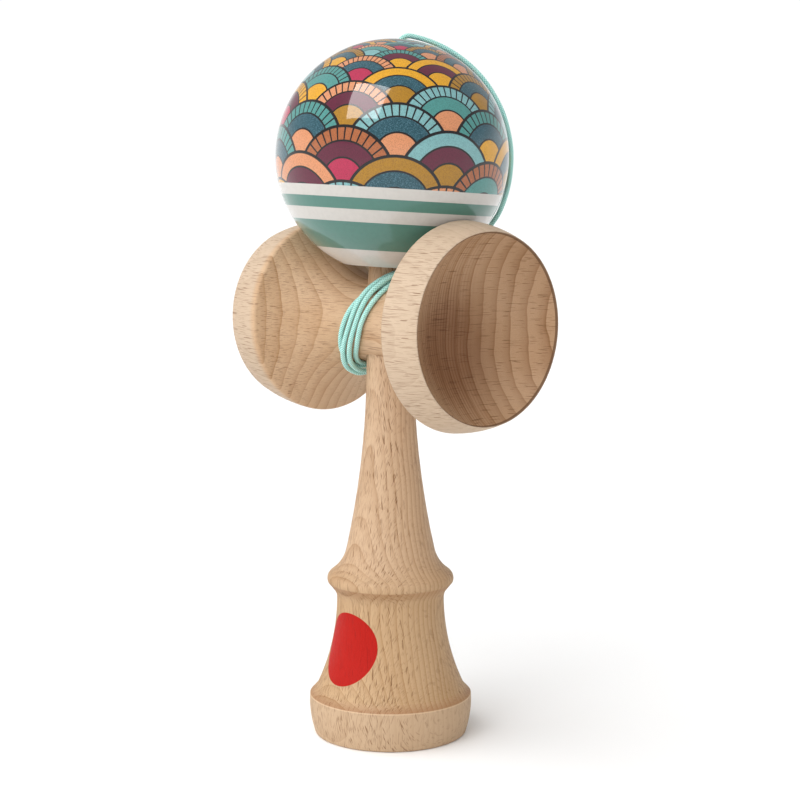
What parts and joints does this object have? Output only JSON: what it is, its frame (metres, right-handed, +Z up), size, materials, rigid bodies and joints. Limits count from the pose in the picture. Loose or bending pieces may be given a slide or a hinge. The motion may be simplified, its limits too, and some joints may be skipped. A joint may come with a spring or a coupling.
{
  "type": "kendama",
  "caption": "Wooden skill toy: a turned spiked handle with a cup in its foot, a cross piece with a cup at each end, and a lacquered ball on a braided string wound round the waist.",
  "frame": {"origin": "centre of the flat foot, on the surface that it stands on", "axes": "+Z up along the handle to the spike, +X along the cross piece towards the big cup, +Y to the far side with the string hole"},
  "size_m": [0.0742, 0.06, 0.183],
  "materials": {
    "beech_handle": "bare sanded beech, grain along the handle",
    "beech_cross": "bare sanded beech, grain along the cross piece",
    "lacquer": "printed wood under a clear gloss lacquer",
    "bead": "plain turned bead",
    "braid": "round braided cord"
  },
  "bodies": {
    "ken": {"ken": "beech_handle", "sarado": "beech_cross", "ken_knot": "braid", "string_tail": "braid", "string_winding": "braid", "string_run": "braid"},
    "string_end": {"tama_bead": "bead", "tama_knot": "braid", "string_inner": "braid"},
    "tama": {"tama": "lacquer"}
  },
  "joints": [
    {"name": "tama_lift", "type": "slide", "parent": "ken", "child": "string_end", "axis": [0, 0, 1], "range_m": [0, 0.05], "deforming": ["string_run"]},
    {"name": "tama_spin", "type": "hinge", "parent": "string_end", "child": "tama", "pos_m": [0.00085, 0, 0.15162], "axis": [0.026, 0.0533, 0.9982], "continuous": true}
  ]
}
